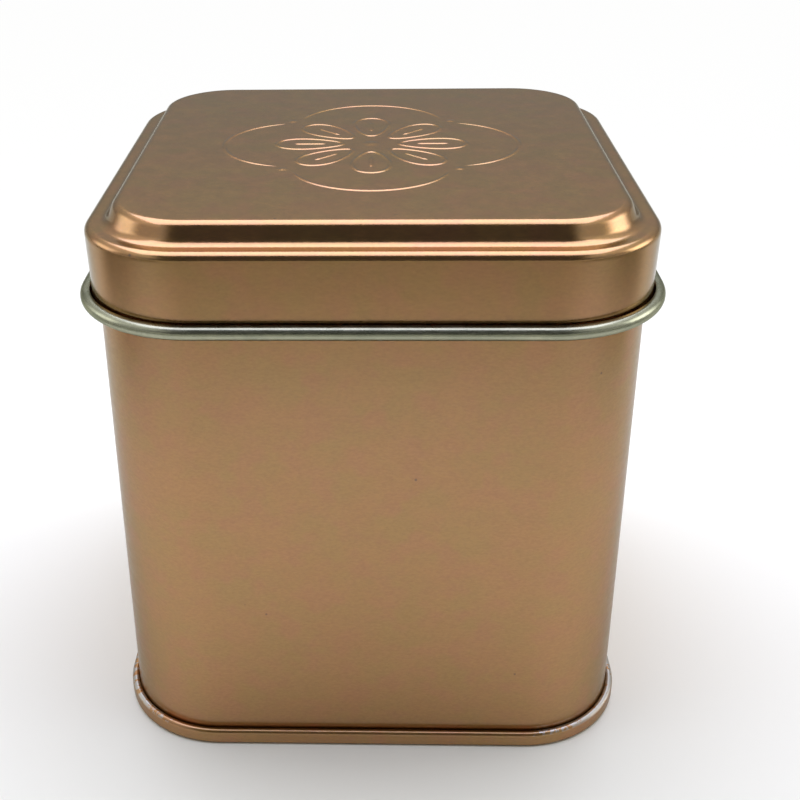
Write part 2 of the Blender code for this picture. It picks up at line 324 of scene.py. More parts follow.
class TinColours(bpy.types.PropertyGroup):
    """Colours of the lacquer, of the bare tinplate and of the studio."""

    copper: colour_property("Copper", "Main colour of the lacquer", (0.388, 0.188, 0.055, 1.0))
    olive: colour_property("Olive", "Greener patches in the lacquer", (0.364, 0.195, 0.051, 1.0))
    rose: colour_property("Rose", "Redder patches in the lacquer", (0.393, 0.179, 0.060, 1.0))
    speck: colour_property("Speck", "Small dark specks in the lacquer", (0.10, 0.06, 0.035, 1.0))
    # Bare tinplate inside the body: its own silver, and painted lighter than the lid's bare metal on
    # the rim, as painted light against the shade inside the body
    tinplate: colour_property("Tinplate", "Bare metal inside the body", (0.70, 0.70, 0.66, 1.0))
    lightened_tinplate_cloud: colour_property(
        "Clouded tinplate", "Duller clouds in the bare metal inside the body", (0.62, 0.62, 0.58, 1.0),
    )
    rim: colour_property(
        "Rim", "Bare metal of the lid, which shows on the rolled rim", (0.40, 0.40, 0.29, 1.0),
    )
    rim_cloud: colour_property(
        "Clouded rim", "Duller clouds in the bare metal of the lid", (0.31, 0.32, 0.235, 1.0),
    )
    worn_metal: colour_property(
        "Worn metal", "Metal that shows where the lacquer is rubbed off", (0.42, 0.40, 0.36, 1.0),
    )
    floor: colour_property("Floor", "Colour of the floor", (0.90, 0.90, 0.78, 1.0))


class TinStudio(bpy.types.PropertyGroup):
    """Light levels of the studio."""

    key_power: level_property("Key light", "Power of the broad lamp overhead, in watts", 1.17)
    horizon: level_property(
        "Horizon", "Brightness of the band at the horizon, as the metal reflects it", 0.40,
    )
    front_room: level_property("Front", "Brightness of the dim room behind the camera", 0.09)
    back_room: level_property("Back", "Brightness of the room behind the tin", 0.62)
    left_window: level_property("Left", "Extra brightness of the room at the left", 1.7)
    right_window: level_property("Right", "Extra brightness of the room at the right", 3.4)
    backdrop: FloatProperty(
        name="Backdrop", description="Brightness of the plain pale backdrop that the camera sees",
        default=0.95, min=0.0, max=1.0,
    )
    floor_glow: FloatProperty(
        name="Floor glow", description="Share of plain white in the floor far from the tin",
        default=0.96, min=0.0, max=1.0, subtype="FACTOR",
    )


def run(line, length):
    """Carry a sheet's middle line straight on, with points close to both ends that keep it flat."""
    across, up, heading = line[-1]
    reaches = (FLAT_HOLD, length - FLAT_HOLD, length) if length > 3 * FLAT_HOLD else (length,)
    for reach in reaches:
        line.append((across + reach * math.cos(heading), up + reach * math.sin(heading), heading))


def bend(line, radius, angle):
    """Bend the middle line along an arc; a positive angle turns it to its left."""
    across, up, heading = line[-1]
    steps = max(2, round(abs(angle) / BEND_STEP))
    side = math.copysign(1.0, angle)
    centre_across = across - side * radius * math.sin(heading)
    centre_up = up + side * radius * math.cos(heading)
    for step in range(1, steps + 1):
        turned = heading + angle * step / steps
        line.append((
            centre_across + side * radius * math.sin(turned),
            centre_up - side * radius * math.cos(turned),
            turned,
        ))


def square_points(half, radius, level):
    """Points round a square with rounded corners, with a few along each straight side."""
    inset = half - radius
    quarter = []
    for step in range(CORNER_STEPS + 1):
        angle = QUARTER * step / CORNER_STEPS
        quarter.append((inset + radius * math.cos(angle), inset + radius * math.sin(angle)))
    for share in SIDE_SHARES:
        quarter.append((inset * share, half))
    points = []
    for corner in range(4):
        turn = Matrix.Rotation(QUARTER * corner, 2)
        for point in quarter:
            points.append((turn @ Vector(point)).to_3d() + Vector((0.0, 0.0, level)))
    return points


def loop_edges(bm, ring, closed=True):
    """Edges between neighbours in a ring of vertices."""
    ends = ring[1:] + ring[:1] if closed else ring[1:]
    return [bm.edges.get(pair) for pair in zip(ring, ends)]


def place(ring, points):
    """Move a ring's vertices to their places."""
    for vert, point in zip(ring, points):
        vert.co = point


def sweep(bm, rings, finishes):
    """Carry one ring of vertices through all its places, and give each strip its finish."""
    first = bmesh.ops.create_circle(bm, segments=len(rings[0]), radius=1.0)["verts"]
    place(first, rings[0])
    ring = first
    for points, finish in zip(rings[1:], finishes):
        made = bmesh.ops.extrude_edge_only(bm, edges=loop_edges(bm, ring))["geom"]
        fresh = {part for part in made if isinstance(part, bmesh.types.BMVert)}
        for part in made:
            if isinstance(part, bmesh.types.BMFace):
                part.material_index = finish
        ring = [partner(vert, fresh) for vert in ring]
        place(ring, points)
    return first, ring


def partner(vert, fresh):
    """The new vertex that a vertex was extruded to."""
    for edge in vert.link_edges:
        other = edge.other_vert(vert)
        if other in fresh:
            return other
    raise RuntimeError("a vertex was not extruded")


def close_ring(bm, ring, finish):
    """Close a ring of vertices with one flat face."""
    for face in bmesh.ops.contextual_create(bm, geom=loop_edges(bm, ring))["faces"]:
        face.material_index = finish


def sheet_bmesh(sizes, line, corner_radius, outer_side, has_panel):
    """Thicken a middle line to the sheet and carry it round the tin. The side of the line that
    carries the lacquer is outer_side. With has_panel the line's start is closed by flat panels."""
    rings = []
    finishes = []
    for side, points in ((1.0, line), (-1.0, line[::-1])):
        finish = LACQUER_SIDE if side == outer_side else BARE_SIDE
        for across, up, heading in points:
            out = -side * sizes.sheet / 2 * math.sin(heading)
            rise = side * sizes.sheet / 2 * math.cos(heading)
            radius = corner_radius(across, up) + out
            rings.append(square_points(across + out, radius, up + rise))
            finishes.append(finish)
    finishes[len(line) - 1] = BARE_SIDE
    bm = bmesh.new()
    first, last = sweep(bm, rings, finishes)
    if has_panel:
        close_ring(bm, first, finishes[0])
        close_ring(bm, last, finishes[-1])
    else:
        edges = loop_edges(bm, first) + loop_edges(bm, last)
        for face in bmesh.ops.bridge_loops(bm, edges=edges)["faces"]:
            face.material_index = BARE_SIDE
    bmesh.ops.recalc_face_normals(bm, faces=bm.faces)
    return bm


def piece_object(name, bm, materials, body, slot, *nodes):
    """Store a finished mesh as a piece that rides on a body and stands for CAD nodes."""
    mesh = bpy.data.meshes.new(name)
    bm.to_mesh(mesh)
    bm.free()
    mesh.shade_smooth()
    mesh.set_sharp_from_angle(angle=SHARP_ANGLE)
    for material in materials:
        mesh.materials.append(material)
    piece = bpy.data.objects.new(name, mesh)
    bpy.context.scene.collection.objects.link(piece)
    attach(piece, body)
    if nodes:
        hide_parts(*nodes)
    return piece


def body_corner_radius(sizes):
    """The corner radius that keeps a section point parallel to the body."""
    return lambda across, up: sizes.body_corner + across - sizes.body_width / 2


def body_line(sizes):
    """Middle line of the body wall: hem at the top, wall, and the hook held in the base seam."""
    sheet = sizes.sheet
    half_body = sizes.body_width / 2
    hem_bend = HEM_BEND_RADIUS - sheet / 2
    wall_middle = half_body - sheet / 2
    hook_middle = sizes.seam_reach - sheet - SEAT_GAP - sheet / 2
    hook_bend = (hook_middle - wall_middle) / 2
    hook_level = sheet + SEAT_GAP + sheet / 2 + hook_bend
    bend_level = sizes.body_top - HEM_BEND_RADIUS
    line = [(wall_middle - 2 * hem_bend, bend_level - HEM_LENGTH, QUARTER)]
    run(line, HEM_LENGTH)
    bend(line, hem_bend, -HALF_TURN)
    run(line, bend_level - hook_level)
    bend(line, hook_bend, HALF_TURN)
    run(line, sizes.seam_height - sheet - BODY_HOOK_TIP_GAP - hook_level)
    return line


def base_line(sizes):
    """Middle line of the base plate: recessed panel, inner wall, foot, outer wall, and the lip that
    curls over the body's hook towards the wall."""
    sheet = sizes.sheet
    half_body = sizes.body_width / 2
    panel_bend = BASE_PANEL_BEND_RADIUS - sheet / 2
    foot_bend = BASE_FOOT_RADIUS - sheet / 2
    lip_bend = BASE_LIP_RADIUS - sheet / 2
    inner_middle = half_body - sheet - SEAT_GAP - sheet / 2
    outer_middle = sizes.seam_reach - sheet / 2
    panel_level = sizes.base_recess + sheet / 2
    line = [(inner_middle - panel_bend - PANEL_HOLD, panel_level, 0.0)]
    run(line, PANEL_HOLD)
    bend(line, panel_bend, -QUARTER)
    run(line, panel_level - panel_bend - foot_bend - sheet / 2)
    bend(line, foot_bend, QUARTER)
    run(line, outer_middle - inner_middle - 2 * foot_bend)
    bend(line, foot_bend, QUARTER)
    run(line, sizes.seam_height - BASE_FOOT_RADIUS - BASE_LIP_RADIUS)
    bend(line, lip_bend, BASE_LIP_TURN)
    return line


def ledge_top(sizes):
    """Height of the lid's ledge, which rests just over the body's hem."""
    return sizes.body_top + LID_SEAT + sizes.sheet


def panel_top(sizes):
    """Height of the lid's raised panel."""
    return ledge_top(sizes) + sizes.riser_height


def skirt_middle(sizes):
    """From the tin's middle to the middle of the skirt's sheet."""
    return sizes.body_width / 2 + sizes.lid_clearance + sizes.sheet / 2


def rim_radius(sizes):
    """Outside radius of the rolled rim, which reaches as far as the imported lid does."""
    return (LID_HIGH.x - skirt_middle(sizes) + sizes.sheet / 2) / 2


def lid_places(sizes):
    """Where the ledge and the panel start, and the straight length of the slope between them."""
    edge_bend = PANEL_EDGE_RADIUS - sizes.sheet / 2
    foot_bend = RISER_FOOT_RADIUS + sizes.sheet / 2
    bends_run = (edge_bend + foot_bend) * math.sin(RISER_ANGLE)
    bends_drop = (edge_bend + foot_bend) * (1.0 - math.cos(RISER_ANGLE))
    slope = (sizes.riser_height - bends_drop) / math.sin(RISER_ANGLE)
    shoulder_bend = sizes.shoulder_radius - sizes.sheet / 2
    ledge_start = skirt_middle(sizes) - shoulder_bend - sizes.ledge_width
    panel_edge = ledge_start - bends_run - slope * math.cos(RISER_ANGLE)
    return ledge_start, panel_edge, slope


def lid_line(sizes):
    """Middle line of the lid: panel edge, riser, ledge, shoulder, skirt and rolled rim."""
    half_sheet = sizes.sheet / 2
    panel_edge, slope = lid_places(sizes)[1:]
    roll = rim_radius(sizes)
    line = [(panel_edge - PANEL_HOLD, panel_top(sizes) - half_sheet, 0.0)]
    run(line, PANEL_HOLD)
    bend(line, PANEL_EDGE_RADIUS - half_sheet, -RISER_ANGLE)
    run(line, slope)
    bend(line, RISER_FOOT_RADIUS + half_sheet, RISER_ANGLE)
    run(line, sizes.ledge_width)
    bend(line, sizes.shoulder_radius - half_sheet, -QUARTER)
    run(line, sizes.skirt_depth - sizes.shoulder_radius)
    bend(line, roll - half_sheet, RIM_ROLL_TURN)
    return line


def lid_corner_radius(sizes):
    """Corner radius of the lid's section points: tighter on the top, and parallel to the body at
    the rim."""
    parallel = body_corner_radius(sizes)
    ledge_start, panel_edge = lid_places(sizes)[:2]
    ledge = ledge_top(sizes)
    rim_level = ledge - sizes.skirt_depth

    def radius(across, up):
        if up > ledge - sizes.sheet and across <= ledge_start:
            share = max(0.0, (across - panel_edge) / (ledge_start - panel_edge))
            inset = PANEL_CORNER_INSET + (LEDGE_CORNER_INSET - PANEL_CORNER_INSET) * share
        else:
            share = (up - rim_level) / (sizes.skirt_depth - sizes.sheet)
            inset = LEDGE_CORNER_INSET * min(1.0, max(0.0, share))
        return parallel(across, up) - inset

    return radius


def bell(share):
    """Height share of a pressed line this far across it, from 0 at its foot to 1 at its crest."""
    return 0.5 + 0.5 * math.cos(WHOLE_TURN * share)


def taper(share):
    """Size share of an open line at this share of its length: pointed tips, full middle."""
    from_tip = min(1.0, min(share, 1.0 - share) / TAPER_SHARE)
    return math.sin(QUARTER * from_tip)


def bead_section(sizes, point, along, share, crest):
    """One section of a pressed line: a bell over the panel, closed underneath inside the sheet."""
    height = crest - panel_top(sizes)
    across = Vector((-along.y, along.x)) * sizes.bead_width * max(BEAD_LEAST_WIDTH_SHARE, share)
    places = []
    for reach in BEAD_SECTION:
        flat = point + across * reach
        up = panel_top(sizes) - BEAD_SINK + (height + BEAD_SINK) * share * bell(reach)
        places.append(Vector((flat.x, flat.y, up)))
    for reach in BEAD_UNDERSIDE:
        flat = point + across * reach
        places.append(Vector((flat.x, flat.y, panel_top(sizes) - sizes.sheet / 2)))
    return places


def add_bead(bm, sizes, points, closed, crest):
    """A pressed line along flat points of (x, y, size share)."""
    rings = []
    last = len(points) - 1
    for index, (x, y, share) in enumerate(points):
        before = points[index - 1] if closed or index > 0 else points[0]
        after = points[(index + 1) % len(points)] if closed or index < last else points[last]
        along = Vector((after[0] - before[0], after[1] - before[1])).normalized()
        rings.append(bead_section(sizes, Vector((x, y)), along, share, crest))
    first, ring = sweep(bm, rings, [LACQUER_SIDE] * len(rings))
    if closed:
        bmesh.ops.bridge_loops(bm, edges=loop_edges(bm, first) + loop_edges(bm, ring))
    else:
        close_ring(bm, first, LACQUER_SIDE)
        close_ring(bm, ring, LACQUER_SIDE)


def turned(points, angle):
    """The same flat points turned about the tin's axis."""
    cosine, sine = math.cos(angle), math.sin(angle)
    return [(x * cosine - y * sine, x * sine + y * cosine, share) for x, y, share in points]


def frame_waist(sizes):
    """Where two lobes of the frame would meet: the angle along a lobe and the distance from the
    tin's axis."""
    meeting = QUARTER / 2 + math.asin(LOBE_OFFSET / (math.sqrt(2.0) * sizes.lobe_radius))
    return meeting, math.sqrt(2.0) * sizes.lobe_radius * math.sin(meeting)


def petal_points(sizes):
    """Egg-shaped outline of the petal that points along +X, as wide as its neighbours leave room."""
    length = frame_waist(sizes)[1] - PETAL_TIP_GAP - PETAL_START
    middle = PETAL_START + length / 2
    room = middle * math.tan(HALF_TURN / PETALS) - (sizes.bead_width + PETAL_SIDE_GAP) / 2
    points = []
    for step in range(PETAL_STEPS):
        angle = WHOLE_TURN * step / PETAL_STEPS
        x = middle + length / 2 * math.cos(angle)
        y = PETAL_WIDTH_SHARE * room * math.sin(angle) * (1.0 + PETAL_EGG_SHARE * math.cos(angle))
        points.append((x, y, 1.0))
    return points


def vein_points(sizes):
    """Short line down the middle of that petal."""
    length = frame_waist(sizes)[1] - PETAL_TIP_GAP - PETAL_START
    points = []
    for step in range(VEIN_STEPS + 1):
        share = step / VEIN_STEPS
        x = PETAL_START + length * (VEIN_START_SHARE + VEIN_LENGTH_SHARE * share)
        points.append((x, 0.0, taper(share)))
    return points


def lobe_points(sizes):
    """Arc of the frame round that petal, with pointed ends that stop short of the next arc."""
    half_angle = frame_waist(sizes)[0] - LOBE_END_GAP / sizes.lobe_radius
    points = []
    for step in range(LOBE_STEPS + 1):
        share = step / LOBE_STEPS
        angle = half_angle * (2 * share - 1.0)
        x = LOBE_OFFSET + sizes.lobe_radius * math.cos(angle)
        points.append((x, sizes.lobe_radius * math.sin(angle), taper(share)))
    return points


def add_stud(bm, sizes, x, y, radius, crest):
    """A small round boss that swells out of the panel."""
    low = panel_top(sizes) - BEAD_SINK
    middle = Vector((x, y, low))
    edge = []
    for step in range(STUD_STEPS):
        angle = WHOLE_TURN * step / STUD_STEPS
        edge.append(Vector((x + radius * math.cos(angle), y + radius * math.sin(angle), low)))
    sunk = Vector((0.0, 0.0, sizes.sheet / 2))
    foot = [point + (middle - point) * STUD_FOOT_INSET - sunk for point in edge]
    rings = [foot, edge]
    for step in range(1, STUD_RINGS):
        inward = step / STUD_RINGS
        rise = Vector((0.0, 0.0, (crest - low) * bell(0.5 * (1.0 - inward))))
        rings.append([point + (middle - point) * inward + rise for point in edge])
    first, ring = sweep(bm, rings, [LACQUER_SIDE] * len(rings))
    close_ring(bm, first, LACQUER_SIDE)
    close_ring(bm, ring, LACQUER_SIDE)


def press_lock_seam(bm, sizes):
    """Fold the lock seam inside the back wall and press the groove of its joint outside."""
    half_body = sizes.body_width / 2
    inside = half_body - sizes.sheet
    low = sizes.base_recess + sizes.sheet + LOCK_SEAM_END_GAP
    high = sizes.body_top - HEM_BEND_RADIUS - HEM_LENGTH - LOCK_SEAM_END_GAP
    groove = LOCK_GROOVE_WIDTH / 2
    slope = groove + LOCK_GROOVE_SLOPE
    flats = (slope + FLAT_HOLD, slope, groove)
    columns = [side * reach for reach in (LOCK_SEAM_WIDTH / 2, *flats) for side in (-1.0, 1.0)]
    for column in columns:
        cut_back_wall(bm, half_body, Vector((column, 0.0, 0.0)), Vector((1.0, 0.0, 0.0)))
    for level in (low, high):
        cut_back_wall(bm, half_body, Vector((0.0, 0.0, level)), Vector((0.0, 0.0, 1.0)))
    for vert in bm.verts:
        on_outside = abs(vert.co.y - half_body) < sizes.sheet / 4
        in_groove = abs(vert.co.x) < slope - ON_CUT and low - ON_CUT < vert.co.z < high + ON_CUT
        if on_outside and in_groove:
            vert.co.y -= LOCK_GROOVE_DEPTH
    strip = [face for face in bm.faces if in_strip(face, inside, low, high)]
    made = bmesh.ops.extrude_face_region(bm, geom=strip)["geom"]
    raised = [part for part in made if isinstance(part, bmesh.types.BMVert)]
    bmesh.ops.translate(bm, verts=raised, vec=Vector((0.0, -LOCK_SEAM_LAYERS * sizes.sheet, 0.0)))
    bmesh.ops.delete(bm, geom=strip, context="FACES_ONLY")
    bmesh.ops.recalc_face_normals(bm, faces=bm.faces)


def cut_back_wall(bm, half_body, point, normal):
    """Cut the flat of the back wall along a plane."""
    nearest = half_body - BACK_WALL_BAND
    faces = [face for face in bm.faces if face.calc_center_median().y > nearest]
    parts = set(faces)
    for face in faces:
        parts.update(face.edges)
        parts.update(face.verts)
    bmesh.ops.bisect_plane(bm, geom=list(parts), plane_co=point, plane_no=normal, dist=CUT_MERGE)


def in_strip(face, inside, low, high):
    """Whether a face lies on the inside of the back wall, under the lock seam's fold."""
    middle = face.calc_center_median()
    on_wall = abs(middle.y - inside) < ON_WALL and abs(face.normal.y) > FACES_STRAIGHT
    return on_wall and abs(middle.x) < LOCK_SEAM_WIDTH / 2 and low < middle.z < high


def link(tree, source, target):
    """Join two sockets of a material."""
    tree.links.new(source, target)


def new_material(name):
    """An empty material with its shader, and the object's own coordinates."""
    material = bpy.data.materials.new(name)
    material.use_nodes = True
    tree = material.node_tree
    shader = tree.nodes["Principled BSDF"]
    coordinates = tree.nodes.new("ShaderNodeTexCoord").outputs["Object"]
    return material, tree, shader, coordinates


def add_noise(tree, coordinates, grains, detail, roughness, offset=(0.0, 0.0, 0.0)):
    """A noise pattern; grains is how many of them fit in a metre along each axis."""
    mapping = tree.nodes.new("ShaderNodeMapping")
    mapping.inputs["Scale"].default_value = grains
    mapping.inputs["Location"].default_value = offset
    texture = tree.nodes.new("ShaderNodeTexNoise")
    texture.inputs["Scale"].default_value = 1.0
    texture.inputs["Detail"].default_value = detail
    texture.inputs["Roughness"].default_value = roughness
    link(tree, coordinates, mapping.inputs["Vector"])
    link(tree, mapping.outputs["Vector"], texture.inputs["Vector"])
    return texture.outputs["Fac"]


def add_range(tree, value, low, high, to_low, to_high):
    """Stretch a value from one range to another, held at its ends."""
    node = tree.nodes.new("ShaderNodeMapRange")
    node.inputs["From Min"].default_value = low
    node.inputs["From Max"].default_value = high
    node.inputs["To Min"].default_value = to_low
    node.inputs["To Max"].default_value = to_high
    link(tree, value, node.inputs["Value"])
    return node.outputs["Result"]


def add_mix(tree, share, first, second, blend="MIX"):
    """Mix two colours by a share; each may be a colour or a socket."""
    node = tree.nodes.new("ShaderNodeMix")
    node.data_type = "RGBA"
    node.blend_type = blend
    for socket, value in ((node.inputs[0], share), (node.inputs[6], first), (node.inputs[7], second)):
        if isinstance(value, bpy.types.NodeSocket):
            link(tree, value, socket)
        else:
            socket.default_value = value
    return node.outputs[2]


def add_math(tree, operation, first, second):
    """Arithmetic on two values; each may be a number or a socket."""
    node = tree.nodes.new("ShaderNodeMath")
    node.operation = operation
    for socket, value in ((node.inputs[0], first), (node.inputs[1], second)):
        if isinstance(value, bpy.types.NodeSocket):
            link(tree, value, socket)
        else:
            socket.default_value = value
    return node.outputs[0]


def add_bump(tree, height, distance, normal=None):
    """Raise the surface by a height pattern."""
    node = tree.nodes.new("ShaderNodeBump")
    node.inputs["Strength"].default_value = 1.0
    node.inputs["Distance"].default_value = distance
    link(tree, height, node.inputs["Height"])
    if normal is not None:
        link(tree, normal, node.inputs["Normal"])
    return node.outputs["Normal"]


def add_specks(tree, coordinates, per_metre, keep, size, offset):
    """Small round specks, in the share keep of the cells of a scattered pattern."""
    mapping = tree.nodes.new("ShaderNodeMapping")
    mapping.inputs["Scale"].default_value = (per_metre, per_metre, per_metre)
    mapping.inputs["Location"].default_value = offset
    cells = tree.nodes.new("ShaderNodeTexVoronoi")
    cells.inputs["Scale"].default_value = 1.0
    link(tree, coordinates, mapping.inputs["Vector"])
    link(tree, mapping.outputs["Vector"], cells.inputs["Vector"])
    core = size * SPECK_CORE_SHARE
    dot = add_range(tree, cells.outputs["Distance"], core, size, 1.0, 0.0)
    pick = tree.nodes.new("ShaderNodeSeparateColor")
    link(tree, cells.outputs["Color"], pick.inputs["Color"])
    chosen = add_math(tree, "LESS_THAN", pick.outputs["Red"], keep)
    return add_math(tree, "MULTIPLY", dot, chosen)


def lacquer_colour(tree, coordinates, colours, offset):
    """Copper lacquer with soft olive and rose patches, a fine grain and a few dark specks."""
    patches = add_noise(tree, coordinates, *PATCH_NOISE, offset)
    blush = add_noise(tree, coordinates, *BLUSH_NOISE, BLUSH_OFFSET)
    grain = add_noise(tree, coordinates, *FINE_NOISE, offset)
    olive_share = add_range(tree, patches, *PATCH_RANGE, 0.0, 1.0)
    first = add_mix(tree, olive_share, colours.copper, colours.olive)
    rose_share = add_range(tree, blush, *BLUSH_RANGE, 0.0, BLUSH_SHARE)
    second = add_mix(tree, rose_share, first, colours.rose)
    shade = add_range(tree, grain, *FINE_RANGE, *FINE_SHADES)
    grey = tree.nodes.new("ShaderNodeCombineColor")
    for channel in ("Red", "Green", "Blue"):
        link(tree, shade, grey.inputs[channel])
    grained = add_mix(tree, 1.0, second, grey.outputs["Color"], "MULTIPLY")
    specks = add_specks(tree, coordinates, SPECKS_PER_METRE, SPECK_KEEP, SPECK_SIZE, offset)
    specks = add_math(tree, "MULTIPLY", specks, SPECK_STRENGTH)
    return add_mix(tree, specks, grained, colours.speck)


def lacquer_material(name, colours, roughness, offset):
    """Copper-coloured lacquer over rolled sheet, satin, with the skin of dried lacquer."""
    material, tree, shader, coordinates = new_material(name)
    colour = lacquer_colour(tree, coordinates, colours, offset)
    link(tree, colour, shader.inputs["Base Color"])
    shader.inputs["Metallic"].default_value = 1.0
    shader.inputs["Specular Tint"].default_value = LACQUER_EDGE_TINT
    rub = add_noise(tree, coordinates, *RUB_NOISE, offset)
    smooth, rough = roughness - RUB_SPREAD, roughness + RUB_SPREAD
    link(tree, add_range(tree, rub, *RUB_RANGE, smooth, rough), shader.inputs["Roughness"])
    shader.inputs["Coat Weight"].default_value = COAT_WEIGHT
    shader.inputs["Coat IOR"].default_value = COAT_IOR
    shader.inputs["Coat Roughness"].default_value = COAT_ROUGHNESS
    skin = add_noise(tree, coordinates, *SKIN_NOISE, offset)
    swell = add_noise(tree, coordinates, *SWELL_NOISE, offset)
    normal = add_bump(tree, skin, SKIN_HEIGHT)
    link(tree, add_bump(tree, swell, SWELL_HEIGHT, normal), shader.inputs["Normal"])
    return material


def seam_material(name, colours):
    """The lacquer on the base seam, rubbed down to dull metal along its upper edge near the
    corners."""
    material = lacquer_material(name, colours, SEAM_ROUGHNESS, SEAM_OFFSET)
    tree = material.node_tree
    shader = tree.nodes["Principled BSDF"]
    coordinates = tree.nodes.new("ShaderNodeTexCoord").outputs["Object"]
    place_on = tree.nodes.new("ShaderNodeSeparateXYZ")
    link(tree, coordinates, place_on.inputs["Vector"])
    edge = add_range(tree, place_on.outputs["Z"], *WEAR_HEIGHTS, 0.0, 1.0)
    chips = add_noise(tree, coordinates, *CHIP_NOISE, CHIP_OFFSET)
    right = add_range(tree, place_on.outputs["X"], *CHIP_RIGHT_PLACES, *CHIP_RIGHT_LEVELS)
    left = add_range(tree, place_on.outputs["X"], *CHIP_LEFT_PLACES, *CHIP_LEFT_LEVELS)
    rubbed = add_math(tree, "GREATER_THAN", chips, add_math(tree, "MINIMUM", left, right))
    worn = add_math(tree, "MULTIPLY", edge, rubbed)
    under = shader.inputs["Base Color"].links[0].from_socket
    link(tree, add_mix(tree, worn, under, colours.worn_metal), shader.inputs["Base Color"])
    return material


def tinplate_material(name, clear, cloudy):
    """Bare tinplate: grey metal with faint dull clouds and fine rolling lines."""
    material, tree, shader, coordinates = new_material(name)
    clouds = add_noise(tree, coordinates, *CLOUD_NOISE)
    streaks = add_noise(tree, coordinates, *STREAK_NOISE, STREAK_OFFSET)
    share = add_range(tree, clouds, *CLOUD_RANGE, 0.0, 1.0)
    link(tree, add_mix(tree, share, clear, cloudy), shader.inputs["Base Color"])
    shader.inputs["Metallic"].default_value = 1.0
    shader.inputs["Specular Tint"].default_value = BARE_EDGE_TINT
    polish = add_range(tree, streaks, *STREAK_RANGE, *STREAK_ROUGHNESS)
    link(tree, polish, shader.inputs["Roughness"])
    link(tree, add_bump(tree, clouds, CLOUD_HEIGHT), shader.inputs["Normal"])
    return material


def lightened_inside_tinplate(colours):
    """The one bare metal that the body wall and the base plate share inside. It is painted lighter
    than the lid's bare metal, as painted light against the shade inside the body.
    """
    made = bpy.data.materials.get("tinplate")
    return made or tinplate_material("tinplate", colours.tinplate, colours.lightened_tinplate_cloud)


class TIN_OT_body_wall(bpy.types.Operator):
    """Add the body wall, with its hem, its lock seam and the hook held in the base seam"""

    bl_idname = "tin.body_wall"
    bl_label = "Body wall"

    def execute(self, context):
        sizes = context.scene.tin_sizes
        colours = context.scene.tin_colours
        bm = sheet_bmesh(sizes, body_line(sizes), body_corner_radius(sizes), 1.0, False)
        press_lock_seam(bm, sizes)
        lacquer = lacquer_material("body_lacquer_finish", colours, BODY_ROUGHNESS, BODY_OFFSET)
        piece_object(
            "body_wall_sheet", bm, (lacquer, lightened_inside_tinplate(colours)),
            "tin_body", "body_lacquer", "body_wall",
        )
        return {"FINISHED"}


class TIN_OT_base_plate(bpy.types.Operator):
    """Add the base plate, with its recessed panel and the seam round its foot"""

    bl_idname = "tin.base_plate"
    bl_label = "Base plate"

    def execute(self, context):
        sizes = context.scene.tin_sizes
        colours = context.scene.tin_colours
        bm = sheet_bmesh(sizes, base_line(sizes), body_corner_radius(sizes), -1.0, True)
        lacquer = seam_material("base_lacquer_finish", colours)
        piece_object(
            "base_plate_sheet", bm, (lacquer, lightened_inside_tinplate(colours)),
            "tin_body", "base_lacquer", "base_plate",
        )
        return {"FINISHED"}


class TIN_OT_lid(bpy.types.Operator):
    """Add the lid, with its raised panel, its skirt and its rolled rim"""

    bl_idname = "tin.lid"
    bl_label = "Lid"

    def execute(self, context):
        sizes = context.scene.tin_sizes
        colours = context.scene.tin_colours
        bm = sheet_bmesh(sizes, lid_line(sizes), lid_corner_radius(sizes), 1.0, True)
        lacquer = lacquer_material("lid_lacquer_finish", colours, LID_ROUGHNESS, LID_OFFSET)
        bare = tinplate_material("lid_tinplate", colours.rim, colours.rim_cloud)
        piece_object(
            "lid_sheet", bm, (lacquer, bare),
            "tin_lid", "lid_lacquer", "lid",
        )
        return {"FINISHED"}


class TIN_OT_ornament(bpy.types.Operator):
    """Add the rosette and its frame, pressed up in the lid's panel"""

    bl_idname = "tin.ornament"
    bl_label = "Lid ornament"

    def execute(self, context):
        sizes = context.scene.tin_sizes
        crest = panel_top(sizes) + sizes.bead_height
        bm = bmesh.new()
        for petal in range(PETALS):
            angle = WHOLE_TURN * petal / PETALS
            add_bead(bm, sizes, turned(petal_points(sizes), angle), True, crest)
            add_bead(bm, sizes, turned(vein_points(sizes), angle), False, crest)
        for lobe in range(LOBES):
            angle = WHOLE_TURN * lobe / LOBES
            add_bead(bm, sizes, turned(lobe_points(sizes), angle), False, crest)
            between = angle + HALF_TURN / LOBES
            distance = frame_waist(sizes)[1] + STUD_OFFSET
            x, y = distance * math.cos(between), distance * math.sin(between)
            add_stud(bm, sizes, x, y, STUD_RADIUS, crest)
        add_stud(bm, sizes, 0.0, 0.0, BOSS_RADIUS, crest)
        bmesh.ops.recalc_face_normals(bm, faces=bm.faces)
        lacquer = bpy.data.materials["lid_lacquer_finish"]
        piece_object("lid_ornament", bm, (lacquer,), "tin_lid", "lid_lacquer", "lid")
        return {"FINISHED"}


class TIN_OT_studio(bpy.types.Operator):
    """Add the floor, the room, the broad lamp, the grey cards and the camera"""

    bl_idname = "tin.studio"
    bl_label = "Studio"

    def execute(self, context):
        scene = context.scene
        scene.view_settings.view_transform = "Standard"
        add_floor(scene)
        add_room(scene)
        add_key(scene)
        add_cards(scene)
        add_camera(scene)
        return {"FINISHED"}


def add_floor(scene):
    """A wide pale floor that keeps the tin's shadow; most of it shows as plain white."""
    bm = bmesh.new()
    bmesh.ops.create_grid(bm, x_segments=1, y_segments=1, size=FLOOR_REACH)
    mesh = bpy.data.meshes.new("floor")
    bm.to_mesh(mesh)
    bm.free()
    floor = bpy.data.objects.new("floor", mesh)
    scene.collection.objects.link(floor)
    mesh.materials.append(floor_material(scene))


